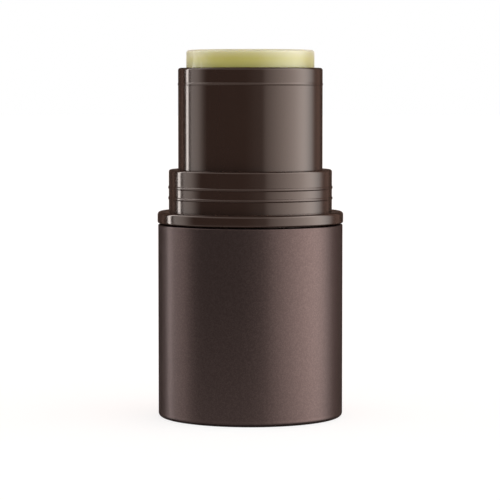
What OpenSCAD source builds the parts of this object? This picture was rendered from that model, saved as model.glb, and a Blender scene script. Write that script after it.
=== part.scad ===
// Twist-up lip balm stick without its cap. Millimetres, +Z up, the foot of the sleeve on z = 0.

/* [Sleeve] */
// Outer diameter of the metal sleeve that is held and turned
sleeve_d = 25; // [24.6:0.1:28]
// Height of the sleeve from its foot to its lip
sleeve_h = 26.1; // [24.5:0.1:32]
// Sheet thickness of the sleeve
sleeve_wall = 0.5; // [0.35:0.05:0.65]
// Outer radius of the sleeve's bottom corner
sleeve_corner_r = 0.5; // [0.3:0.05:1]
// Edge radius of the sleeve's lip
lip_r = 0.16; // [0.05:0.01:0.16]
// Depth of the shallow dish pressed into the sleeve's floor
dish_depth = 0.15; // [0.05:0.05:0.3]
// Width of the ring that the sleeve stands on, outside the dish
foot_ring_w = 1.6; // [1.2:0.1:3]

/* [Core inside the sleeve] */
// Wall thickness of the moulded core
core_wall = 0.95; // [0.85:0.05:1.1]
// Thickness of the core's floor
core_floor = 1.2; // [0.8:0.1:1.6]
// How far the core's rim lies below the sleeve's lip
core_step = 0.4; // [0.2:0.1:1]
// Number of radial webs between the boss and the wall
web_count = 6; // [3:1:10]
// Thickness of a web
web_t = 0.9; // [0.6:0.1:1.4]
// How far the webs stop below the top of the boss
web_step = 0.6; // [0.2:0.1:2]
// Wall of the boss round the drive socket
boss_wall = 1.4; // [1:0.1:2]
// Number of grip ribs between core and sleeve
grip_count = 12; // [6:1:24]
// Width of a grip rib
grip_w = 0.6; // [0.4:0.1:1]

/* [Collar] */
// Height of the thin gap between the sleeve's lip and the flange
turn_gap = 0.2; // [0.15:0.05:0.4]
// How much wider than the sleeve the flange is
flange_over = 0.16; // [0:0.02:0.4]
// Thickness of the flange
flange_h = 1.55; // [1.2:0.05:2.2]
// Edge radius of the flange's top
flange_r = 0.42; // [0.1:0.02:0.5]
// Edge radius of the flange's underside
flange_under_r = 0.2; // [0.05:0.01:0.3]
// Wall of the neck that the cap grips
neck_wall = 1.23; // [0.9:0.01:1.8]
// Height of the neck above the flange
neck_h = 5.66; // [4.8:0.02:9]
// Outer edge radius of the neck's top
neck_r = 0.3; // [0.05:0.01:0.3]
// Inner edge radius of the neck's top
neck_inner_r = 0.12; // [0.05:0.01:0.2]
// Height of the lower retention ridge above the flange
low_ridge_h = 1.8; // [1:0.05:2.3]
// Height of the upper retention ridge above the flange
high_ridge_h = 3.24; // [3:0.02:4]
// How far a retention ridge stands proud
ridge_proud = 0.09; // [0.04:0.01:0.14]
// Width of a retention ridge
ridge_w = 0.42; // [0.35:0.01:0.6]
// Wall of the skirt that runs down inside the core
skirt_wall = 0.88; // [0.8:0.02:1.2]
// Length of the skirt that runs down inside the core
skirt_h = 8; // [7:0.1:11]
// Drop from the flange to the snap bead
snap_drop = 3; // [2.4:0.1:3.6]
// How far the snap bead reaches under the core's lip
snap_bite = 0.2; // [0.1:0.05:0.25]
// Height of the snap bead
snap_h = 1; // [0.8:0.1:1.4]
// Drop from the flange to the middle of the drag ring
ring_drop = 5.6; // [5.2:0.1:6]
// Section diameter of the drag ring
ring_section = 0.6; // [0.5:0.02:0.66]

/* [Barrel] */
// Height of the tube above the neck
tube_h = 13.7; // [12.5:0.1:20]
// Wall of the tube
tube_wall = 1; // [0.85:0.05:1.3]
// Outer edge radius of the rim
rim_r = 0.32; // [0.1:0.02:0.4]
// Inner edge radius of the rim
rim_inner_r = 0.15; // [0.05:0.01:0.3]
// Drop from the rim to the fine ridge below it
tube_ridge_drop = 2.2; // [1:0.1:3]
// How far the tube's ridge stands proud
tube_ridge_proud = 0.05; // [0.03:0.01:0.1]
// Width of the tube's ridge
tube_ridge_w = 0.36; // [0.28:0.01:0.5]
// Thickness of the shoulder that seats under the skirt
shoulder_h = 1; // [0.6:0.1:1.6]
// Number of locking lugs on the shoulder
lug_count = 4; // [2:1:6]
// Width of a locking lug
lug_w = 3; // [2:0.1:4]
// Height of a locking lug
lug_h = 1.3; // [0.8:0.1:1.6]
// Number of keyways in the tube's bore
key_count = 4; // [2:1:6]
// Width of a keyway
key_w = 1.8; // [1.2:0.1:2.4]
// Depth of a keyway
key_depth = 0.5; // [0.4:0.05:0.55]
// How far below the rim the carrier's top stops
top_stop = 3.8; // [3:0.1:6]

/* [Balm and carrier] */
// Length of the balm
balm_h = 27.3; // [25:0.1:29]
// How far the balm stands above the rim
balm_proud = 2.4; // [1:0.1:3.2]
// Edge radius of the balm's top
balm_r = 0.38; // [0.1:0.02:0.8]
// Balm left above the end of the screw's bore
balm_cap = 2; // [1.5:0.1:4]
// How far the balm's top sinks below the rim
retract_depth = 1.1; // [0.5:0.1:1.4]
// Thickness of the carrier's plate
plate_t = 1.2; // [0.8:0.1:1.6]
// Height of the carrier's guide rim, from the plate's top
guide_h = 2.6; // [2:0.1:3.2]
// Wall of the carrier's guide rim
guide_wall = 0.8; // [0.6:0.1:1.2]
// Length of the carrier's threaded tube, from the plate's top
nut_h = 8; // [7:0.1:9]
// Outer diameter of the carrier's threaded tube
nut_d = 9.2; // [8.6:0.1:10.4]
// Height of the fins that hold the balm
fin_h = 2.5; // [1.5:0.1:4]
// Thickness of a fin
fin_t = 0.8; // [0.5:0.1:1.2]
// Number of fins
fin_count = 4; // [3:1:6]
// Gap between the fins' tips and the balm's side
fin_inset = 1.4; // [1:0.1:2.2]

/* [Screw] */
// Rise of the balm for one turn of the base
lead = 6; // [5:0.25:8]
// Diameter over the screw's thread
screw_d = 6.2; // [5.8:0.1:6.6]
// Diameter of the screw's core
screw_core_d = 4.6; // [4.2:0.1:5]
// Width of the thread at its crest
crest_w = 1; // [0.7:0.05:1.2]
// Width of the thread at the core
root_w = 1.6; // [1.4:0.05:2]
// Gap between the screw's flanks and the nut's
thread_gap = 0.18; // [0.12:0.01:0.25]
// Thickness of the screw's stop flange
stop_t = 1.2; // [0.8:0.1:1.6]
// Diameter across the corners of the six-sided drive foot
drive_d = 5.2; // [4.6:0.1:5.6]
// Length of the drive foot
drive_h = 3.5; // [2.5:0.1:4]

/* [Hidden] */
$fn = 96;

// How far the tube reaches below the carrier at the bottom of its travel
tail_below_guide = 1.6;

// Clearances
core_fit = 0.1;
grip_gap = 0.02;
skirt_gap = 0.25;
collar_fit = 0.05;
slide_gap = 0.12;
seat_gap = 0.05;
stop_gap = 0.3;
ring_gap = 0.05;
cut = 0.05;

// Heights, from the foot up
floor_z = sleeve_wall + dish_depth;
flange_z = sleeve_h + turn_gap;
flange_top_z = flange_z + flange_h;
neck_top_z = flange_top_z + neck_h;
rim_z = neck_top_z + tube_h;
balm_top_z = rim_z + balm_proud;
plate_z = balm_top_z - balm_h;
skirt_z = flange_z - skirt_h;
travel_down = balm_proud + retract_depth;
key_top_z = rim_z - top_stop + stop_gap;
screw_stop_z = plate_z - nut_h - travel_down - stop_gap;
boss_top_z = screw_stop_z - stop_t;
tip_z = balm_top_z - balm_cap - travel_down - stop_gap;
barrel_z = min(skirt_z - shoulder_h, plate_z - travel_down - guide_h - tail_below_guide);
snap_z = flange_z - snap_drop;
ring_z = flange_z - ring_drop;
core_top_z = sleeve_h - core_step;

// Radii, from the outside in
sleeve_outer = sleeve_d / 2;
sleeve_inner = sleeve_outer - sleeve_wall;
dish_outer = sleeve_outer - foot_ring_w;
core_outer = sleeve_inner - core_fit;
core_inner = core_outer - core_wall;
skirt_outer = core_inner - skirt_gap;
collar_inner = skirt_outer - skirt_wall;
tube_outer = collar_inner - collar_fit;
bore = tube_outer - tube_wall;
flange_outer = sleeve_outer + flange_over / 2;
neck_outer = collar_inner + neck_wall;
balm_outer = bore - slide_gap;
shoulder_outer = skirt_outer - seat_gap * 2;
ring_mid = core_inner - ring_gap - ring_section / 2;
boss_outer = drive_d / 2 + boss_wall;
screw_outer = screw_d / 2;
screw_core = screw_core_d / 2;
fin_outer = balm_outer - fin_inset;

// With a left-handed thread, the balm rises as the base turns clockwise seen from below
left_handed = true;
// Sections of the thread for one turn
segments = 24;
// Corners of the thread's section
corners = 4;
// Rise over which the thread's crest runs out at its ends
run_out = 1.5;
// How deep the thread's root lies inside the core
root_sink = 0.3;

// 2D piece that takes the sharp corner off an edge at (x, z); sx and sz point out of the solid
module round_off(x, z, r, sx = 1, sz = 1) {
    translate([x - sx * r, z - sz * r])
        difference() {
            translate([sx > 0 ? 0 : -r - cut, sz > 0 ? 0 : -r - cut]) square(r + cut);
            circle(r);
        }
}

// 2D rounded bead on an outside wall at radius x
module bead(x, z, proud, width) {
    bead_r = (width * width / 4 + proud * proud) / (2 * proud);
    translate([x + proud - bead_r, z]) circle(bead_r);
}

// Block that starts at radius r0 and ends at r1, at the angle of copy i of count
module spoke(i, count, r0, r1, width, z0, z1, turn = 0) {
    rotate([0, 0, turn + 360 * i / count])
        translate([r0, -width / 2, z0]) cube([r1 - r0, width, z1 - z0]);
}

// Section of the thread at height z, on a helix that every piece shares
function thread_section(z, r0, r1, w0, w1) =
    let (a = (left_handed ? -360 : 360) * z / lead)
    [for (p = [[r0, -w0 / 2], [r1, -w1 / 2], [r1, w1 / 2], [r0, w0 / 2]])
        [p[0] * cos(a), p[0] * sin(a), z + p[1]]];

// Helical ridge from z0 to z1; its crest runs out over a rise of "out" at both ends
module thread(z0, z1, r0, r1, w0, w1, out) {
    n = ceil((z1 - z0) / lead * segments);
    sections = [for (i = [0:n])
        let (z = z0 + (z1 - z0) * i / n,
            f = out > 0 ? min(1, (z - z0 + cut) / out, (z1 - z + cut) / out) : 1)
        thread_section(z, r0, r0 + (r1 - r0) * f, w0, w1 + (w0 - w1) * (1 - f))];
    points = [for (s = sections) for (p = s) p];
    sides = [for (i = [0:n - 1]) for (k = [0:corners - 1])
        let (a = corners * i + k, b = corners * i + (k + 1) % corners)
        for (t = [[b, a + corners, a], [b + corners, a + corners, b]]) t];
    last = corners * n;
    ends = [for (k = [1:corners - 2]) for (t = [[0, k, k + 1], [last + k + 1, last + k, last]]) t];
    polyhedron(points, [for (f = concat(sides, ends)) left_handed ? [f[2], f[1], f[0]] : f]);
}

module base_sleeve() {
    color([0.36, 0.29, 0.27])
        rotate_extrude()
            difference() {
                square([sleeve_outer, sleeve_h]);
                translate([0, floor_z]) square([sleeve_inner, sleeve_h]);
                translate([dish_outer + sleeve_wall, sleeve_wall])
                    square([sleeve_inner - dish_outer - sleeve_wall, sleeve_h]);
                square([dish_outer, dish_depth]);
                round_off(sleeve_outer, 0, sleeve_corner_r, 1, -1);
                round_off(sleeve_outer, sleeve_h, lip_r);
                round_off(sleeve_inner, sleeve_h, lip_r, -1);
            }
}

module base_core() {
    socket_depth = drive_h + stop_gap;
    color([0.3, 0.25, 0.23])
        difference() {
            union() {
                rotate_extrude()
                    difference() {
                        translate([0, floor_z]) square([core_outer, core_top_z - floor_z]);
                        translate([0, floor_z + core_floor]) square([core_inner, core_top_z]);
                        translate([core_inner - cut, snap_z - snap_h / 2 - seat_gap])
                            square([snap_bite + skirt_gap + cut, snap_h + seat_gap * 2]);
                        polygon([[core_inner - cut, core_top_z + cut],
                            [core_inner + core_step + cut, core_top_z + cut],
                            [core_inner - cut, core_top_z - core_step - cut]]);
                    }
                translate([0, 0, floor_z]) cylinder(h = boss_top_z - floor_z, r = boss_outer);
                for (i = [0:web_count - 1])
                    spoke(i, web_count, boss_outer - web_t, core_inner + cut, web_t,
                        floor_z + core_floor - cut, boss_top_z - web_step);
                for (i = [0:grip_count - 1])
                    spoke(i, grip_count, core_outer - cut, sleeve_inner - grip_gap, grip_w,
                        floor_z + core_floor, core_top_z - snap_drop * 2, 180 / grip_count);
            }
            translate([0, 0, boss_top_z - socket_depth])
                cylinder(h = socket_depth + cut, r = drive_d / 2 + seat_gap, $fn = 6);
        }
}

module spindle() {
    color([0.86, 0.85, 0.8])
        union() {
            translate([0, 0, boss_top_z - drive_h]) cylinder(h = drive_h + cut, r = drive_d / 2, $fn = 6);
            translate([0, 0, boss_top_z]) cylinder(h = stop_t, r = boss_outer);
            translate([0, 0, screw_stop_z - cut]) cylinder(h = tip_z - screw_stop_z + cut - root_sink, r = screw_core);
            translate([0, 0, tip_z - root_sink])
                cylinder(h = root_sink, r1 = screw_core, r2 = screw_core - root_sink);
            thread(screw_stop_z + root_w, tip_z - root_w, screw_core - root_sink, screw_outer,
                root_w, crest_w, run_out);
        }
}

module collar() {
    color([0.25, 0.19, 0.17])
        difference() {
            rotate_extrude()
                difference() {
                    union() {
                        translate([collar_inner, flange_top_z - cut])
                            square([neck_outer - collar_inner, neck_h + cut]);
                        translate([collar_inner, flange_z]) square([flange_outer - collar_inner, flange_h]);
                        translate([collar_inner, skirt_z]) square([skirt_outer - collar_inner, skirt_h + cut]);
                        bead(neck_outer, flange_top_z + low_ridge_h, ridge_proud, ridge_w);
                        bead(neck_outer, flange_top_z + high_ridge_h, ridge_proud, ridge_w);
                        polygon([[collar_inner, snap_z - snap_h / 2 - (skirt_outer - collar_inner)],
                            [core_inner + snap_bite, snap_z],
                            [core_inner + snap_bite, snap_z + snap_h / 2],
                            [collar_inner, snap_z + snap_h / 2]]);
                    }
                    translate([ring_mid - ring_section / 2 - grip_gap, ring_z - ring_section / 2 - seat_gap])
                        square([ring_section * 2, ring_section + seat_gap * 2]);
                    round_off(neck_outer, neck_top_z, neck_r);
                    round_off(collar_inner, neck_top_z, neck_inner_r, -1);
                    round_off(flange_outer, flange_top_z, flange_r);
                    round_off(flange_outer, flange_z, flange_under_r, 1, -1);
                }
            for (i = [0:lug_count - 1])
                spoke(i, lug_count, bore, skirt_outer + cut, lug_w + seat_gap * 2,
                    skirt_z - cut, skirt_z + lug_h + seat_gap, 180 / lug_count);
        }
}

module drag_ring() {
    color([0.12, 0.12, 0.12])
        rotate_extrude() translate([ring_mid, ring_z]) circle(ring_section / 2);
}

module barrel() {
    color([0.25, 0.19, 0.17])
        difference() {
            union() {
                rotate_extrude()
                    difference() {
                        union() {
                            translate([bore, barrel_z]) square([tube_wall, rim_z - barrel_z]);
                            translate([bore, skirt_z - shoulder_h]) square([shoulder_outer - bore, shoulder_h]);
                            bead(tube_outer, rim_z - tube_ridge_drop, tube_ridge_proud, tube_ridge_w);
                        }
                        round_off(tube_outer, rim_z, rim_r);
                        round_off(bore, rim_z, rim_inner_r, -1);
                    }
                for (i = [0:lug_count - 1])
                    spoke(i, lug_count, tube_outer - tube_wall / 2, shoulder_outer - seat_gap, lug_w,
                        skirt_z - shoulder_h / 2, skirt_z + lug_h, 180 / lug_count);
            }
            for (i = [0:key_count - 1])
                spoke(i, key_count, bore - key_depth, bore + key_depth, key_w, barrel_z - cut, key_top_z);
        }
}

// Fins and boss that stand in the balm; grow opens the same shape for the pocket in the balm
module anchor(grow) {
    translate([0, 0, plate_z - cut]) cylinder(h = fin_h + cut + grow, r = nut_d / 2 + grow);
    for (i = [0:fin_count - 1])
        spoke(i, fin_count, nut_d / 2 - fin_t, fin_outer + grow, fin_t + grow * 2,
            plate_z - cut, plate_z + fin_h + grow, 180 / fin_count);
}

module elevator() {
    nut_z = plate_z - nut_h;
    color([0.82, 0.8, 0.74])
        difference() {
            union() {
                translate([0, 0, plate_z - plate_t]) cylinder(h = plate_t, r = balm_outer);
                difference() {
                    translate([0, 0, plate_z - guide_h]) cylinder(h = guide_h, r = balm_outer);
                    translate([0, 0, plate_z - guide_h - cut])
                        cylinder(h = guide_h, r = balm_outer - guide_wall);
                }
                for (i = [0:key_count - 1])
                    spoke(i, key_count, balm_outer - guide_wall, bore + key_depth - slide_gap,
                        key_w - slide_gap * 2, plate_z - guide_h, plate_z);
                translate([0, 0, nut_z]) cylinder(h = nut_h, r = nut_d / 2);
                anchor(0);
            }
            translate([0, 0, nut_z - cut]) cylinder(h = nut_h, r = screw_core + thread_gap);
            translate([0, 0, plate_z - plate_t]) cylinder(h = plate_t + fin_h + cut * 2, r = screw_outer + stop_gap);
            thread(nut_z - root_w, plate_z - plate_t + root_w, screw_core - root_sink, screw_outer + thread_gap,
                root_w + thread_gap * 2, crest_w + thread_gap * 2, 0);
        }
}

module balm() {
    color([0.85, 0.83, 0.65])
        difference() {
            rotate_extrude()
                difference() {
                    translate([0, plate_z]) square([balm_outer, balm_h]);
                    round_off(balm_outer, balm_top_z, balm_r);
                }
            anchor(grip_gap);
            translate([0, 0, plate_z - cut])
                cylinder(h = balm_h - balm_cap + cut, r = screw_outer + stop_gap);
        }
}

base_sleeve();
base_core();
spindle();
collar();
drag_ring();
barrel();
elevator();
balm();
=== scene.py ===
"""Looks of a twist-up lip balm stick: turned shells, finishes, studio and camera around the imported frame."""

import math

import bmesh
import bpy
from bpy.props import FloatProperty, FloatVectorProperty, IntProperty, PointerProperty
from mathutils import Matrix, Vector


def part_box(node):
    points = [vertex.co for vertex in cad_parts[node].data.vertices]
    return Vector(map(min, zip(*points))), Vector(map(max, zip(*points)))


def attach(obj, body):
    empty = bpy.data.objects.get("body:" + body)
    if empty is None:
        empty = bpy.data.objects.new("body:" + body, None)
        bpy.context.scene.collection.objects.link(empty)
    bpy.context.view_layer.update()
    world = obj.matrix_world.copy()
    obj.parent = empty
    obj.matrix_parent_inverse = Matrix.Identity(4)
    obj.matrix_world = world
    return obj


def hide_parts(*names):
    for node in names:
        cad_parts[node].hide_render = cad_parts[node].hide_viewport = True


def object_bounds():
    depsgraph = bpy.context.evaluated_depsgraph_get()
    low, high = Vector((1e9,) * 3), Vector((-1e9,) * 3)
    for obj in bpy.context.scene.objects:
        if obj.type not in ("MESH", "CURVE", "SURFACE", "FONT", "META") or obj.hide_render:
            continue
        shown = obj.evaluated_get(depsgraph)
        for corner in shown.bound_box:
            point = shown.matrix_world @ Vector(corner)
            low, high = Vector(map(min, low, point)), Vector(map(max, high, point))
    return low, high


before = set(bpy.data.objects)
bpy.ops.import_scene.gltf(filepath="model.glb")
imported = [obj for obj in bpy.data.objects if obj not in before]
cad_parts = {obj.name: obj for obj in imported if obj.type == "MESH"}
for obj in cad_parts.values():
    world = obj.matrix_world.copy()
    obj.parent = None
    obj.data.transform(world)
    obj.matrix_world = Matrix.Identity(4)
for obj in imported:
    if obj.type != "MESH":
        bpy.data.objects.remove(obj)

bl_info = {
    "name": "Lip balm stick",
    "version": (1, 0, 0),
    "blender": (4, 5, 0),
    "location": "View3D > Sidebar > Balm stick",
    "description": "Builds the finishes of a twist-up lip balm stick and a plain studio round it",
    "category": "Object",
}

MM = 0.001
CAD_LOW, CAD_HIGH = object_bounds()
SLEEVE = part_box("base_sleeve")
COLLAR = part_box("collar")
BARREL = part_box("barrel")
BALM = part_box("balm")
# A step too small to see, where a cut or a lug begins
SLIVER = 0.002 * MM
# Gap between the drag ring and the floor of its groove
RING_FLOOR_GAP = 0.02 * MM
# Edges that turn more than this stay sharp
SHARP_EDGE = math.radians(28)
# Upright softboxes: first and last azimuth in degrees, soft width at each end, strength, shape of the rise
SOFTBOXES = (
    (-145.0, -134.0, 4.0, 4.0, 0.18, "SMOOTHSTEP"),
    (-124.0, -115.8, 1.5, 1.5, 7.4, "SMOOTHSTEP"),
    (-113.5, -72.0, 6.0, 24.0, 1.7, "SMOOTHSTEP"),
    (-12.0, 128.0, 30.0, 38.0, 0.25, "SMOOTHSTEP"),
    (17.0, 128.0, 9.0, 38.0, 0.45, "SMOOTHSTEP"),
    (19.0, 128.0, 66.0, 38.0, 4.3, "LINEAR"),
    (104.0, 151.0, 14.0, 11.0, 0.28, "SMOOTHSTEP"),
)


def length(name, text, millimetres):
    """A size property that is shown in scene units."""
    return FloatProperty(name=name, description=text, default=millimetres * MM, unit="LENGTH", precision=5)


def colour(name, text, value):
    """A linear colour property."""
    return FloatVectorProperty(name=name, description=text, default=value, size=3, subtype="COLOR",
                               min=0, max=1)


def number(name, text, value):
    """A plain number property."""
    return FloatProperty(name=name, description=text, default=value)


class BalmStickSizes(bpy.types.PropertyGroup):
    """Walls, edges and ridges of the turned pieces; outer sizes come from the frame."""

    columns: IntProperty(name="Columns", description="Columns round each turned piece", default=288, min=48)
    arc_steps: IntProperty(name="Arc steps", description="Steps of each rounded edge", default=7, min=2)
    sleeve_wall: length("Sleeve wall", "Sheet thickness of the metal sleeve", 0.5)
    sleeve_corner: length("Sleeve corner", "Outer radius of the sleeve's bottom corner", 0.5)
    lip_edge: length("Lip edge", "Edge radius of the sleeve's lip", 0.16)
    dish_depth: length("Dish depth", "Depth of the dish in the sleeve's floor", 0.15)
    foot_ring: length("Foot ring", "Width of the ring that the sleeve stands on", 1.6)
    flange_height: length("Flange height", "Thickness of the collar's flange", 1.55)
    flange_edge: length("Flange edge", "Edge radius of the flange's top", 0.42)
    flange_under: length("Flange underside", "Edge radius of the flange's underside", 0.2)
    neck_height: length("Neck height", "Height of the neck above the flange", 5.66)
    neck_wall: length("Neck wall", "Wall of the neck", 1.23)
    neck_edge: length("Neck edge", "Outer edge radius of the neck's top", 0.3)
    neck_inner_edge: length("Neck inner edge", "Inner edge radius of the neck's top", 0.12)
    low_ridge: length("Lower ridge", "Height of the lower retention ridge above the flange", 1.8)
    high_ridge: length("Upper ridge", "Height of the upper retention ridge above the flange", 3.24)
    ridge_proud: length("Ridge proud", "How far a retention ridge stands proud", 0.09)
    ridge_width: length("Ridge width", "Width of a retention ridge", 0.42)
    skirt_gap: length("Skirt gap", "Gap between the collar's skirt and the core", 0.25)
    skirt_wall: length("Skirt wall", "Wall of the collar's skirt", 0.88)
    core_wall: length("Core wall", "Wall of the core", 0.95)
    snap_drop: length("Snap drop", "Drop from the flange to the snap bead", 3.0)
    snap_bite: length("Snap bite", "Reach of the snap bead under the core's lip", 0.2)
    snap_height: length("Snap height", "Height of the snap bead", 1.0)
    ring_drop: length("Ring drop", "Drop from the flange to the drag ring", 5.6)
    ring_section: length("Ring section", "Section diameter of the drag ring", 0.6)
    tube_gap: length("Tube gap", "Gap between the tube and the collar", 0.05)
    tube_wall: length("Tube wall", "Wall of the tube", 1.0)
    rim_edge: length("Rim edge", "Outer edge radius of the tube's rim", 0.32)
    rim_inner_edge: length("Rim inner edge", "Inner edge radius of the tube's rim", 0.15)
    tube_ridge_drop: length("Tube ridge drop", "Drop from the rim to the tube's fine ridge", 2.2)
    tube_ridge_proud: length("Tube ridge proud", "How far the tube's ridge stands proud", 0.05)
    tube_ridge_width: length("Tube ridge width", "Width of the tube's ridge", 0.36)
    shoulder: length("Shoulder", "Thickness of the tube's shoulder", 1.0)
    seat_gap: length("Seat gap", "Play between pieces that seat on each other", 0.05)
    lug_width: length("Lug width", "Width of a locking lug", 3.0)
    lug_height: length("Lug height", "Height of a locking lug", 1.3)
    key_width: length("Keyway width", "Width of a keyway in the tube's bore", 1.8)
    key_depth: length("Keyway depth", "Depth of a keyway", 0.5)
    key_stop: length("Keyway stop", "How far below the rim the keyways end", 3.5)
    balm_edge: length("Balm edge", "Edge radius of the balm's top", 0.38)
    balm_cap: length("Balm cap", "Balm left above the screw's bore", 2.0)
    screw_bore: length("Screw bore", "Radius of the bore that the screw runs in", 3.4)
    fin_height: length("Fin height", "Height of the carrier's fins", 2.52)
    fin_width: length("Fin width", "Width of the slots that the fins fill", 0.84)
    fin_inset: length("Fin inset", "Gap from the fins' tips to the balm's side", 1.38)
    boss_radius: length("Boss radius", "Radius of the carrier's boss, with its play", 4.62)
    spokes: IntProperty(name="Spokes", description="Number of keyways, lugs and fins", default=4, min=2)


class BalmStickColours(bpy.types.PropertyGroup):
    """Colours of the finishes, linear."""

    sleeve: colour("Sleeve", "Satin metallic coat of the sleeve", (0.0600, 0.0403, 0.0372))
    sleeve_flake: colour("Sleeve flake", "Lighter flakes in the sleeve's coat", (0.0745, 0.0507, 0.0468))
    plastic: colour("Glossy plastic", "Polished brown plastic of tube and collar", (0.0225, 0.0118, 0.0087))
    plastic_deep: colour("Plastic, deep", "Darker clouds in the glossy plastic", (0.0200, 0.0103, 0.0075))
    core: colour("Core", "Plain plastic of the inner core", (0.05, 0.034, 0.028))
    screw: colour("Screw", "Natural plastic of screw and carrier", (0.72, 0.69, 0.6))
    ring: colour("Ring", "Silicone of the drag ring", (0.012, 0.012, 0.012))
    balm: colour("Balm", "Pale wax", (0.355, 0.33, 0.052))
    balm_light: colour("Balm, light", "Lighter clouds in the wax", (0.41, 0.385, 0.076))
    # Painted highlight: paler colour painted along the balm's top edge
    balm_painted_highlight: colour("Balm, bloom", "Paler wax along the top edge", (0.365, 0.37, 0.335))
    floor: colour("Floor", "Plain pale floor", (0.25, 0.25, 0.25))


class BalmStickStudio(bpy.types.PropertyGroup):
    """Camera and light of the plain studio."""

    distance: length("Distance", "Camera distance from the stick's axis", 320.0)
    side: length("Side", "How far left of the stick's axis the camera stands", 0.05)
    eye_height: length("Eye height", "Height of the camera", 44.0)
    tilt: FloatProperty(name="Tilt", description="How far the camera looks down", default=math.radians(3.835),
                        subtype="ANGLE")
    focal: number("Focal length", "Focal length in millimetres", 170.0)
    sensor: number("Sensor", "Sensor width in millimetres", 36.0)
    floor_radius: length("Floor radius", "Radius of the floor", 4000.0)
    backdrop: number("Backdrop", "Brightness of the white behind the stick", 1.0)
    fill: number("Fill", "Brightness of the studio between the softboxes", 0.09)
    top: number("Top", "Brightness of the softbox overhead", 1.2)
    bounce: number("Bounce", "Brightness of the bench in the gloss", 1.0)
    evenness: number("Evenness", "Share of the matt light that comes from all round", 1.0)
    even_light: number("Even light", "Brightness of the light from all round", 1.02)
    right_light: number("Right light", "Matt light that the right side adds", 0.42)


def settings():
    """The three groups of properties on the scene."""
    scene = bpy.context.scene
    return scene.balm_stick_sizes, scene.balm_stick_colours, scene.balm_stick_studio


# Turned shapes

def arc(x, z, radius, start, end, steps):
    """Points of an arc round (x, z), from start to end in degrees."""
    turns = [math.radians(start + (end - start) * i / steps) for i in range(steps + 1)]
    return [(x + radius * math.cos(t), z + radius * math.sin(t)) for t in turns]


def ridge(x, z, proud, width, steps):
    """Points down a rounded ridge that stands proud of a wall at radius x."""
    radius = (width * width / 4 + proud * proud) / (2 * proud)
    half = math.degrees(math.asin(width / 2 / radius))
    return arc(x + proud - radius, z, radius, half, -half, steps)


class Spokes:
    """Evenly spaced cuts or lugs on a turned wall, each as wide at every height."""

    def __init__(self, count, width, radius, turn=0.0):
        self.half = math.asin(width / 2 / radius)
        self.centres = [math.radians(turn) + 2 * math.pi * i / count for i in range(count)]

    def edges(self):
        """Angles just inside and just outside each side."""
        sliver = math.radians(0.05)
        sides = [(side, step) for side in (-1, 1) for step in (-sliver, sliver)]
        return [c + side * (self.half + step) for c in self.centres for side, step in sides]

    def holds(self, angle):
        """Whether the angle lies within one of them."""
        return any(abs(math.remainder(angle - c, 2 * math.pi)) < self.half for c in self.centres)


def turned_piece(name, outline, closed, spokes=()):
    """Mesh object turned from an outline of (radius, height, then the radius within each set of spokes)."""
    sizes = settings()[0]
    full = 2 * math.pi
    angles = [full * i / sizes.columns for i in range(sizes.columns)]
    edges = [a % full for each in spokes for a in each.edges()]
    clear = full / sizes.columns / 3
    angles = [a for a in angles if all(abs(math.remainder(a - e, full)) > clear for e in edges)] + edges
    angles.sort()
    mesh = bmesh.new()
    rows = []
    for point in outline:
        radius, height = point[:2]
        if radius == 0:
            rows.append([mesh.verts.new((0, 0, height))] * len(angles))
            continue
        row = []
        for angle in angles:
            here = [within for each, within in zip(spokes, point[2:]) if each.holds(angle)] or [radius]
            row.append(mesh.verts.new((here[0] * math.cos(angle), here[0] * math.sin(angle), height)))
        rows.append(row)
    pairs = list(zip(rows, rows[1:] + rows[:1])) if closed else list(zip(rows, rows[1:]))
    for upper, lower in pairs:
        for i in range(len(angles)):
            j = (i + 1) % len(angles)
            corners = [upper[i], upper[j], lower[j], lower[i]]
            face = [v for n, v in enumerate(corners) if v not in corners[:n]]
            if len(face) > 2:
                mesh.faces.new(face)
    bmesh.ops.remove_doubles(mesh, verts=mesh.verts, dist=1e-8)
    bmesh.ops.dissolve_degenerate(mesh, edges=mesh.edges, dist=1e-9)
    bmesh.ops.recalc_face_normals(mesh, faces=mesh.faces)
    data = bpy.data.meshes.new(name)
    mesh.to_mesh(data)
    mesh.free()
    data.polygons.foreach_set("use_smooth", [True] * len(data.polygons))
    data.set_sharp_from_angle(angle=SHARP_EDGE)
    piece = bpy.data.objects.new(name, data)
    bpy.context.scene.collection.objects.link(piece)
    return piece


# Finishes

def finish_base(name):
    """New material, its node tree and its Principled shader."""
    material = bpy.data.materials.new(name)
    material.use_nodes = True
    tree = material.node_tree
    return material, tree, tree.nodes["Principled BSDF"]


def place(tree, kind, **inputs):
    """New node with its unlinked sockets set by name."""
    node = tree.nodes.new(kind)
    for socket, value in inputs.items():
        node.inputs[socket.replace("_", " ")].default_value = value
    return node


def noise(tree, scale, detail=2.0, roughness=0.5):
    """Noise in object space; scale counts features per metre."""
    where = tree.nodes.new("ShaderNodeTexCoord")
    node = place(tree, "ShaderNodeTexNoise", Scale=scale, Detail=detail, Roughness=roughness)
    tree.links.new(where.outputs["Object"], node.inputs["Vector"])
    return node


def mix_colours(tree, factor, low, high):
    """Colour between low and high by a factor output."""
    node = tree.nodes.new("ShaderNodeMix")
    node.data_type = "RGBA"
    node.inputs["A"].default_value = (*low, 1)
    node.inputs["B"].default_value = (*high, 1)
    tree.links.new(factor, node.inputs["Factor"])
    return node.outputs["Result"]


def remap(tree, value, low, high, start=0.3, end=0.7):
    """Value output mapped from start..end to low..high."""
    node = place(tree, "ShaderNodeMapRange", From_Min=start, From_Max=end, To_Min=low, To_Max=high)
    tree.links.new(value, node.inputs["Value"])
    return node.outputs["Result"]


def bump(tree, shader, height, strength, distance):
    """Fine relief on the shader."""
    node = place(tree, "ShaderNodeBump", Strength=strength, Distance=distance)
    tree.links.new(height, node.inputs["Height"])
    tree.links.new(node.outputs["Normal"], shader.inputs["Normal"])


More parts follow.
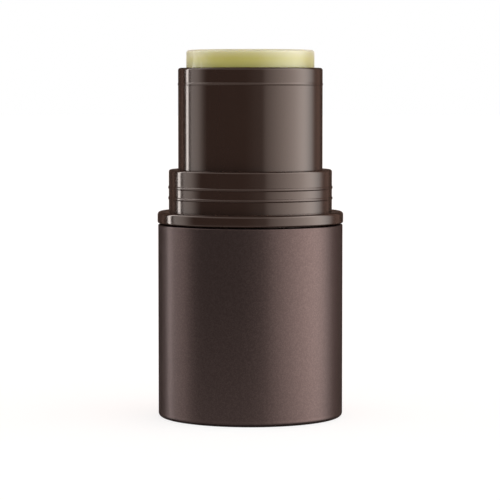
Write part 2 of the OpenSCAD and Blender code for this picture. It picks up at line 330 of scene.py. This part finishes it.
def sum_of(tree, outputs):
    """Sum of several value outputs."""
    total = outputs[0]
    for output in outputs[1:]:
        node = tree.nodes.new("ShaderNodeMath")
        node.operation = "ADD"
        tree.links.new(total, node.inputs[0])
        tree.links.new(output, node.inputs[1])
        total = node.outputs["Value"]
    return total


def product(tree, first, second):
    """Product of a value output and another or a number."""
    node = tree.nodes.new("ShaderNodeMath")
    node.operation = "MULTIPLY"
    tree.links.new(first, node.inputs[0])
    if isinstance(second, (int, float)):
        node.inputs[1].default_value = second
    else:
        tree.links.new(second, node.inputs[1])
    return node.outputs["Value"]


def band(tree, value, start, end, soft_start, soft_end, strength, interpolation="SMOOTHSTEP"):
    """Strength where the value lies between start and end, and nothing outside, with soft edges."""
    rise = place(tree, "ShaderNodeMapRange", From_Min=start, From_Max=start + soft_start)
    fall = place(tree, "ShaderNodeMapRange", From_Min=end - soft_end, From_Max=end, To_Min=1.0, To_Max=0.0)
    rise.interpolation_type = interpolation
    fall.interpolation_type = "SMOOTHSTEP"
    for node in (rise, fall):
        tree.links.new(value, node.inputs["Value"])
    return product(tree, product(tree, rise.outputs["Result"], fall.outputs["Result"]), strength)


def upward(tree, coordinate):
    """Z of a coordinate in the piece's own space: Object is the height at rest, Normal is 1 on a flat top."""
    where = tree.nodes.new("ShaderNodeTexCoord")
    axes = tree.nodes.new("ShaderNodeSeparateXYZ")
    tree.links.new(where.outputs[coordinate], axes.inputs["Vector"])
    return axes.outputs["Z"]


def satin_finish(colours):
    """Satin metallic coat with fine flakes, with painted shade round the foot's corner under a painted
    highlight stripe.
    """
    material, tree, shader = finish_base("satin_finish")
    shader.inputs["Metallic"].default_value = 0.85
    shader.inputs["Specular Tint"].default_value = (0.66, 0.68, 0.7, 1)
    flakes = place(tree, "ShaderNodeTexVoronoi", Scale=9000.0)
    where = tree.nodes.new("ShaderNodeTexCoord")
    tree.links.new(where.outputs["Object"], flakes.inputs["Vector"])
    grey = tree.nodes.new("ShaderNodeRGBToBW")
    tree.links.new(flakes.outputs["Color"], grey.inputs["Color"])
    mottle = noise(tree, 3000.0, 3.0, 0.6)
    blend = product(tree, grey.outputs["Val"], mottle.outputs["Fac"])
    coat = mix_colours(tree, remap(tree, blend, 0.0, 1.0, 0.15, 0.4),
                       colours.sleeve, colours.sleeve_flake)
    height = upward(tree, "Object")
    # Painted shade: the coat is darkened towards the foot's corner, and a painted highlight stripe lies just
    # above it
    corner = remap(tree, height, 0.75, 1.0, 0.42 * MM, 0.58 * MM)
    painted_highlight_line = band(tree, height, 0.52 * MM, 0.86 * MM, 0.1 * MM, 0.12 * MM, 0.12)
    tone = tree.nodes.new("ShaderNodeVectorMath")
    tone.operation = "SCALE"
    tree.links.new(coat, tone.inputs[0])
    tree.links.new(sum_of(tree, [corner, painted_highlight_line]), tone.inputs["Scale"])
    tree.links.new(tone.outputs["Vector"], shader.inputs["Base Color"])
    tree.links.new(remap(tree, mottle.outputs["Fac"], 0.31, 0.34), shader.inputs["Roughness"])
    bump(tree, shader, grey.outputs["Val"], 0.25, 0.000006)
    return material


def glossy_finish(colours):
    """Polished brown plastic with faint moulding waves, made once and shared."""
    made = bpy.data.materials.get("glossy_finish")
    if made:
        return made
    material, tree, shader = finish_base("glossy_finish")
    clouds = noise(tree, 140.0, 3.0)
    tree.links.new(mix_colours(tree, clouds.outputs["Fac"], colours.plastic_deep, colours.plastic),
                   shader.inputs["Base Color"])
    haze = noise(tree, 400.0, 4.0, 0.6)
    tree.links.new(remap(tree, haze.outputs["Fac"], 0.11, 0.14), shader.inputs["Roughness"])
    shader.inputs["IOR"].default_value = 1.53
    shader.inputs["Specular Tint"].default_value = (1.0, 0.83, 0.75, 1)
    waves = noise(tree, 250.0, 1.0)
    bump(tree, shader, waves.outputs["Fac"], 0.08, 0.00002)
    return material


def moulded_finish(name, tone, roughness, grain):
    """Plain moulded piece with a fine spark-eroded grain."""
    material, tree, shader = finish_base(name)
    clouds = noise(tree, 300.0, 2.0)
    deep = [c * 0.9 for c in tone]
    tree.links.new(mix_colours(tree, clouds.outputs["Fac"], deep, tone), shader.inputs["Base Color"])
    texture = noise(tree, grain, 2.0)
    tree.links.new(remap(tree, texture.outputs["Fac"], roughness, roughness + 0.1),
                   shader.inputs["Roughness"])
    bump(tree, shader, texture.outputs["Fac"], 0.2, 0.00001)
    return material


def wax_finish(colours):
    """Pale translucent wax, a little cloudy, with a painted highlight: paler colour along its top edge."""
    material, tree, shader = finish_base("wax_finish")
    clouds = noise(tree, 220.0, 3.0, 0.55)
    wax = mix_colours(tree, clouds.outputs["Fac"], colours.balm, colours.balm_light)
    # Painted highlight: the colour turns paler near the top, where the surface tips off the flat top face
    painted_highlight = tree.nodes.new("ShaderNodeMix")
    painted_highlight.data_type = "RGBA"
    painted_highlight.inputs["B"].default_value = (*colours.balm_painted_highlight, 1)
    tree.links.new(wax, painted_highlight.inputs["A"])
    near_top = remap(tree, upward(tree, "Object"), 0.0, 0.8, BALM[1].z - 1.2 * MM, BALM[1].z)
    off_face = remap(tree, upward(tree, "Normal"), 1.0, 0.45, 0.8, 0.99)
    tree.links.new(product(tree, near_top, off_face), painted_highlight.inputs["Factor"])
    tree.links.new(painted_highlight.outputs["Result"], shader.inputs["Base Color"])
    shader.inputs["Subsurface Weight"].default_value = 0.85
    shader.inputs["Subsurface Radius"].default_value = (1.0, 0.85, 0.4)
    shader.inputs["Subsurface Scale"].default_value = 0.005
    shader.inputs["IOR"].default_value = 1.75
    shader.inputs["Coat Weight"].default_value = 0.45
    shader.inputs["Coat Roughness"].default_value = 0.3
    shader.inputs["Coat IOR"].default_value = 1.8
    shader.inputs["Sheen Weight"].default_value = 0.5
    shader.inputs["Sheen Roughness"].default_value = 0.45
    smear = noise(tree, 1500.0, 3.0)
    tree.links.new(remap(tree, smear.outputs["Fac"], 0.56, 0.64), shader.inputs["Roughness"])
    skin = noise(tree, 500.0, 2.0)
    bump(tree, shader, skin.outputs["Fac"], 0.1, 0.00002)
    return material


def floor_finish(colours):
    """Plain pale floor with a trace of paper grain, lit evenly from below as a light table is."""
    material, tree, shader = finish_base("floor_finish")
    grain = noise(tree, 60.0, 2.0)
    deep = [c * 0.995 for c in colours.floor]
    tree.links.new(mix_colours(tree, grain.outputs["Fac"], deep, colours.floor), shader.inputs["Base Color"])
    shader.inputs["Roughness"].default_value = 0.9
    shader.inputs["Specular IOR Level"].default_value = 0.1
    shader.inputs["Emission Color"].default_value = (1, 1, 1, 1)
    shader.inputs["Emission Strength"].default_value = 0.75
    return material


def dress_node(name, material):
    """Puts a finish on a node of the frame."""
    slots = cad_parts[name].data.materials
    slots.clear()
    slots.append(material)
    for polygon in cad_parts[name].data.polygons:
        polygon.material_index = 0


def dress_piece(piece, body, node, material):
    """Puts a finish on a turned piece that stands for a node."""
    piece.data.materials.append(material)
    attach(piece, body)
    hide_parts(node)


# Pieces

class BALM_OT_sleeve(bpy.types.Operator):
    """Satin metal sleeve, a drawn cup with a dished floor"""

    bl_idname = "balm_stick.sleeve"
    bl_label = "Sleeve"

    def execute(self, context):
        sizes, colours, _ = settings()
        outer, height = SLEEVE[1].x, SLEEVE[1].z
        inner = outer - sizes.sleeve_wall
        dish = outer - sizes.foot_ring
        step = sizes.arc_steps
        lip = sizes.lip_edge
        outline = [(0, sizes.dish_depth), (dish, sizes.dish_depth), (dish, 0)]
        corner = sizes.sleeve_corner
        outline += arc(outer - corner, corner, corner, -90, 0, 2 * step)
        outline += arc(outer - lip, height - lip, lip, 0, 90, step)
        outline += arc(inner + lip, height - lip, lip, 90, 180, step)
        outline += [(inner, sizes.sleeve_wall), (dish + sizes.sleeve_wall, sizes.sleeve_wall)]
        outline += [(dish + sizes.sleeve_wall, sizes.sleeve_wall + sizes.dish_depth)]
        outline += [(0, sizes.sleeve_wall + sizes.dish_depth)]
        piece = turned_piece("sleeve_shell", outline, closed=False)
        dress_piece(piece, "base", "base_sleeve", satin_finish(colours))
        return {"FINISHED"}


class BALM_OT_core(bpy.types.Operator):
    """Moulded core inside the sleeve"""

    bl_idname = "balm_stick.core"
    bl_label = "Core"

    def execute(self, context):
        dress_node("base_core", moulded_finish("core_finish", settings()[1].core, 0.45, 5000.0))
        return {"FINISHED"}


class BALM_OT_screw(bpy.types.Operator):
    """Elevator screw and the carrier that climbs it"""

    bl_idname = "balm_stick.screw"
    bl_label = "Screw and carrier"

    def execute(self, context):
        material = moulded_finish("screw_finish", settings()[1].screw, 0.35, 4000.0)
        dress_node("spindle", material)
        dress_node("elevator", material)
        return {"FINISHED"}


class BALM_OT_collar(bpy.types.Operator):
    """Glossy collar: neck with two retention ridges, flange, and the skirt that snaps into the core"""

    bl_idname = "balm_stick.collar"
    bl_label = "Collar"

    def execute(self, context):
        sizes, colours, _ = settings()
        step = sizes.arc_steps
        top, skirt_low = COLLAR[1].z, COLLAR[0].z
        flange_top = top - sizes.neck_height
        flange_low = flange_top - sizes.flange_height
        flange_outer = COLLAR[1].x
        core_inner = SLEEVE[1].x - sizes.sleeve_wall - 2 * sizes.seat_gap - sizes.core_wall
        skirt = core_inner - sizes.skirt_gap
        inner = skirt - sizes.skirt_wall
        neck = inner + sizes.neck_wall
        snap = flange_low - sizes.snap_drop
        ring = flange_low - sizes.ring_drop
        groove = core_inner - sizes.seat_gap - sizes.ring_section - RING_FLOOR_GAP
        half_groove = sizes.ring_section / 2 + sizes.seat_gap
        notch = skirt_low + sizes.lug_height + sizes.seat_gap
        spokes = Spokes(sizes.spokes, sizes.lug_width + 2 * sizes.seat_gap, skirt, 180 / sizes.spokes)
        inside, over, under = sizes.neck_inner_edge, sizes.flange_edge, sizes.flange_under
        outline = arc(inner + inside, top - inside, inside, 180, 90, step)
        outline += arc(neck - sizes.neck_edge, top - sizes.neck_edge, sizes.neck_edge, 90, 0, step)
        for rise in (sizes.high_ridge, sizes.low_ridge):
            outline += ridge(neck, flange_top + rise, sizes.ridge_proud, sizes.ridge_width, 2 * step)
        outline += [(neck, flange_top)]
        outline += arc(flange_outer - over, flange_top - over, over, 90, 0, step)
        outline += arc(flange_outer - under, flange_low + under, under, 0, -90, step)
        outline += [(skirt, flange_low), (skirt, snap + sizes.snap_height / 2)]
        outline += [(core_inner + sizes.snap_bite, snap + sizes.snap_height / 2)]
        outline += [(core_inner + sizes.snap_bite, snap), (skirt, snap - sizes.snap_height / 2)]
        outline += [(skirt, ring + half_groove), (groove, ring + half_groove), (groove, ring - half_groove)]
        outline += [(skirt, ring - half_groove), (skirt, notch)]
        outline += [(skirt, notch - SLIVER, inner + SLIVER), (skirt, skirt_low, inner + SLIVER)]
        outline += [(inner, skirt_low), (inner, notch)]
        piece = turned_piece("collar_shell", outline, closed=True, spokes=[spokes])
        material = glossy_finish(colours)
        dress_piece(piece, "barrel", "collar", material)
        return {"FINISHED"}


class BALM_OT_drag_ring(bpy.types.Operator):
    """Silicone ring that gives the turning its drag"""

    bl_idname = "balm_stick.drag_ring"
    bl_label = "Drag ring"

    def execute(self, context):
        dress_node("drag_ring", moulded_finish("ring_finish", settings()[1].ring, 0.6, 6000.0))
        return {"FINISHED"}


class BALM_OT_tube(bpy.types.Operator):
    """Glossy tube with a fine ridge below its rim, keyways inside and locking lugs at its shoulder"""

    bl_idname = "balm_stick.tube"
    bl_label = "Tube"

    def execute(self, context):
        sizes, colours, _ = settings()
        step = sizes.arc_steps
        rim, low = BARREL[1].z, BARREL[0].z
        shoulder = BARREL[1].x
        shoulder_top = COLLAR[0].z
        outer = shoulder + 2 * sizes.seat_gap - sizes.skirt_wall - sizes.tube_gap
        bore = outer - sizes.tube_wall
        key_top = rim - sizes.key_stop
        keyways = Spokes(sizes.spokes, sizes.key_width, bore)
        keyed = bore + sizes.key_depth
        lugs = Spokes(sizes.spokes, sizes.lug_width, shoulder, 180 / sizes.spokes)
        lug = shoulder - sizes.seat_gap
        lug_top = shoulder_top + sizes.lug_height
        inside = sizes.rim_inner_edge
        outline = arc(bore + inside, rim - inside, inside, 180, 90, step)
        outline += arc(outer - sizes.rim_edge, rim - sizes.rim_edge, sizes.rim_edge, 90, 0, step)
        outline += ridge(outer, rim - sizes.tube_ridge_drop, sizes.tube_ridge_proud,
                         sizes.tube_ridge_width, 2 * step)
        outline += [(outer, lug_top + SLIVER), (outer, lug_top, outer, lug)]
        outline += [(outer, shoulder_top, outer, lug)]
        outline += [(shoulder, shoulder_top), (shoulder, shoulder_top - sizes.shoulder)]
        outline += [(outer, shoulder_top - sizes.shoulder), (outer, low), (bore, low, keyed)]
        outline += [(bore, key_top, keyed), (bore, key_top + SLIVER)]
        piece = turned_piece("tube_shell", outline, closed=True, spokes=[keyways, lugs])
        material = glossy_finish(colours)
        dress_piece(piece, "barrel", "barrel", material)
        return {"FINISHED"}


class BALM_OT_balm(bpy.types.Operator):
    """Balm stick, cast on the carrier's fins, with a bore for the screw"""

    bl_idname = "balm_stick.balm"
    bl_label = "Balm"

    def execute(self, context):
        sizes, colours, _ = settings()
        step = sizes.arc_steps
        outer, top, low = BALM[1].x, BALM[1].z, BALM[0].z
        pocket = low + sizes.fin_height
        fin = outer - sizes.fin_inset
        edge = sizes.balm_edge
        spokes = Spokes(sizes.spokes, sizes.fin_width, (fin + sizes.boss_radius) / 2, 180 / sizes.spokes)
        outline = [(0, top)] + [(outer * share, top) for share in (0.25, 0.5, 0.75)]
        outline += arc(outer - edge, top - edge, edge, 90, 0, 2 * step)
        outline += [(outer, low), (sizes.boss_radius, low, fin), (sizes.boss_radius, pocket, fin)]
        cap = top - sizes.balm_cap
        outline += [(sizes.screw_bore, pocket), (sizes.screw_bore, cap), (0, cap)]
        piece = turned_piece("balm_stick", outline, closed=False, spokes=[spokes])
        dress_piece(piece, "carrier", "balm", wax_finish(colours))
        return {"FINISHED"}


# Studio

def studio_light(studio):
    """World: white to the camera, even light on matt surfaces, and upright softboxes in the gloss."""
    world = bpy.data.worlds.new("studio")
    bpy.context.scene.world = world
    # The world isn't sampled as a lamp, so that matt surfaces get the even light alone
    world.cycles.sampling_method = "NONE"
    world.use_nodes = True
    tree = world.node_tree
    tree.nodes.clear()
    where = tree.nodes.new("ShaderNodeTexCoord")
    axes = tree.nodes.new("ShaderNodeSeparateXYZ")
    tree.links.new(where.outputs["Generated"], axes.inputs["Vector"])
    front = product(tree, axes.outputs["Y"], -1.0)
    turn = tree.nodes.new("ShaderNodeMath")
    turn.operation = "ARCTAN2"
    tree.links.new(axes.outputs["X"], turn.inputs[0])
    tree.links.new(front, turn.inputs[1])
    azimuth = product(tree, turn.outputs["Value"], 180 / math.pi)
    upright = [band(tree, azimuth, *softbox) for softbox in SOFTBOXES]
    height = axes.outputs["Z"]
    span = band(tree, height, -0.38, 0.92, 0.25, 0.4, 1.0)
    ahead = band(tree, azimuth, -128.0, 128.0, 30.0, 30.0, 1.0)
    over = product(tree, ahead, band(tree, height, 0.22, 0.92, 0.2, 0.25, studio.top))
    under = product(tree, ahead, band(tree, height, -0.66, -0.14, 0.2, 0.12, studio.bounce))
    behind = band(tree, azimuth, 112.0, 181.0, 20.0, 1.0, 1.0)
    behind = sum_of(tree, [behind, band(tree, azimuth, -181.0, -127.0, 1.0, 3.0, 1.0)])
    fill = tree.nodes.new("ShaderNodeValue")
    fill.outputs[0].default_value = studio.fill
    path = tree.nodes.new("ShaderNodeLightPath")
    even = tree.nodes.new("ShaderNodeMix")
    from_right = band(tree, azimuth, -60.0, 181.0, 120.0, 1.0, studio.right_light)
    round_about = tree.nodes.new("ShaderNodeValue")
    round_about.outputs[0].default_value = studio.even_light
    tree.links.new(sum_of(tree, [round_about.outputs[0], from_right]), even.inputs["B"])
    strength = sum_of(tree, [product(tree, sum_of(tree, upright), span), over, under, fill.outputs[0]])
    tree.links.new(product(tree, path.outputs["Is Diffuse Ray"], studio.evenness), even.inputs["Factor"])
    tree.links.new(strength, even.inputs["A"])
    light = tree.nodes.new("ShaderNodeBackground")
    tree.links.new(mix_colours(tree, behind, (1, 0.98, 0.96), (1, 0.66, 0.54)), light.inputs["Color"])
    tree.links.new(even.outputs["Result"], light.inputs["Strength"])
    white = place(tree, "ShaderNodeBackground", Color=(1, 1, 1, 1), Strength=studio.backdrop)
    choose = tree.nodes.new("ShaderNodeMixShader")
    tree.links.new(path.outputs["Is Camera Ray"], choose.inputs["Fac"])
    tree.links.new(light.outputs["Background"], choose.inputs[1])
    tree.links.new(white.outputs["Background"], choose.inputs[2])
    out = tree.nodes.new("ShaderNodeOutputWorld")
    tree.links.new(choose.outputs["Shader"], out.inputs["Surface"])


class BALM_OT_studio(bpy.types.Operator):
    """Pale floor, soft studio light and the camera"""

    bl_idname = "balm_stick.studio"
    bl_label = "Studio"

    def execute(self, context):
        _, colours, studio = settings()
        scene = context.scene
        scene.view_settings.view_transform = "Standard"
        lens = bpy.data.cameras.new("camera")
        lens.lens = studio.focal
        lens.sensor_width = studio.sensor
        camera = bpy.data.objects.new("camera", lens)
        camera.location = (-studio.side, -studio.distance, studio.eye_height)
        camera.rotation_euler = (math.pi / 2 - studio.tilt, 0, 0)
        scene.collection.objects.link(camera)
        scene.camera = camera

        mesh = bmesh.new()
        bmesh.ops.create_circle(mesh, cap_ends=True, segments=64, radius=studio.floor_radius)
        data = bpy.data.meshes.new("floor")
        mesh.to_mesh(data)
        mesh.free()
        data.materials.append(floor_finish(colours))
        floor = bpy.data.objects.new("floor", data)
        floor.location.z = CAD_LOW.z
        floor.visible_glossy = False
        scene.collection.objects.link(floor)
        studio_light(studio)
        return {"FINISHED"}


class BALM_PT_sidebar(bpy.types.Panel):
    """Steps and settings of the balm stick"""

    bl_idname = "BALM_PT_sidebar"
    bl_label = "Balm stick"
    bl_space_type = "VIEW_3D"
    bl_region_type = "UI"
    bl_category = "Balm stick"

    def draw(self, context):
        for step in STEPS:
            self.layout.operator(step.bl_idname)
        for group in settings():
            box = self.layout.box()
            for name in group.__annotations__:
                box.prop(group, name)


STEPS = (BALM_OT_sleeve, BALM_OT_core, BALM_OT_screw, BALM_OT_collar, BALM_OT_drag_ring, BALM_OT_tube,
         BALM_OT_balm, BALM_OT_studio)
GROUPS = {"balm_stick_sizes": BalmStickSizes, "balm_stick_colours": BalmStickColours,
          "balm_stick_studio": BalmStickStudio}
CLASSES = (*GROUPS.values(), *STEPS, BALM_PT_sidebar)


def register():
    """Registers the classes and puts the property groups on the scene."""
    for each in CLASSES:
        bpy.utils.register_class(each)
    for name, group in GROUPS.items():
        setattr(bpy.types.Scene, name, PointerProperty(type=group))


def unregister():
    """Removes what register() added."""
    for name in GROUPS:
        delattr(bpy.types.Scene, name)
    for each in reversed(CLASSES):
        bpy.utils.unregister_class(each)


def main():
    """Builds the pieces and the studio."""
    register()
    bpy.ops.balm_stick.sleeve()
    bpy.ops.balm_stick.core()
    bpy.ops.balm_stick.screw()
    bpy.ops.balm_stick.collar()
    bpy.ops.balm_stick.drag_ring()
    bpy.ops.balm_stick.tube()
    bpy.ops.balm_stick.balm()
    bpy.ops.balm_stick.studio()


if __name__ == "__main__":
    main()
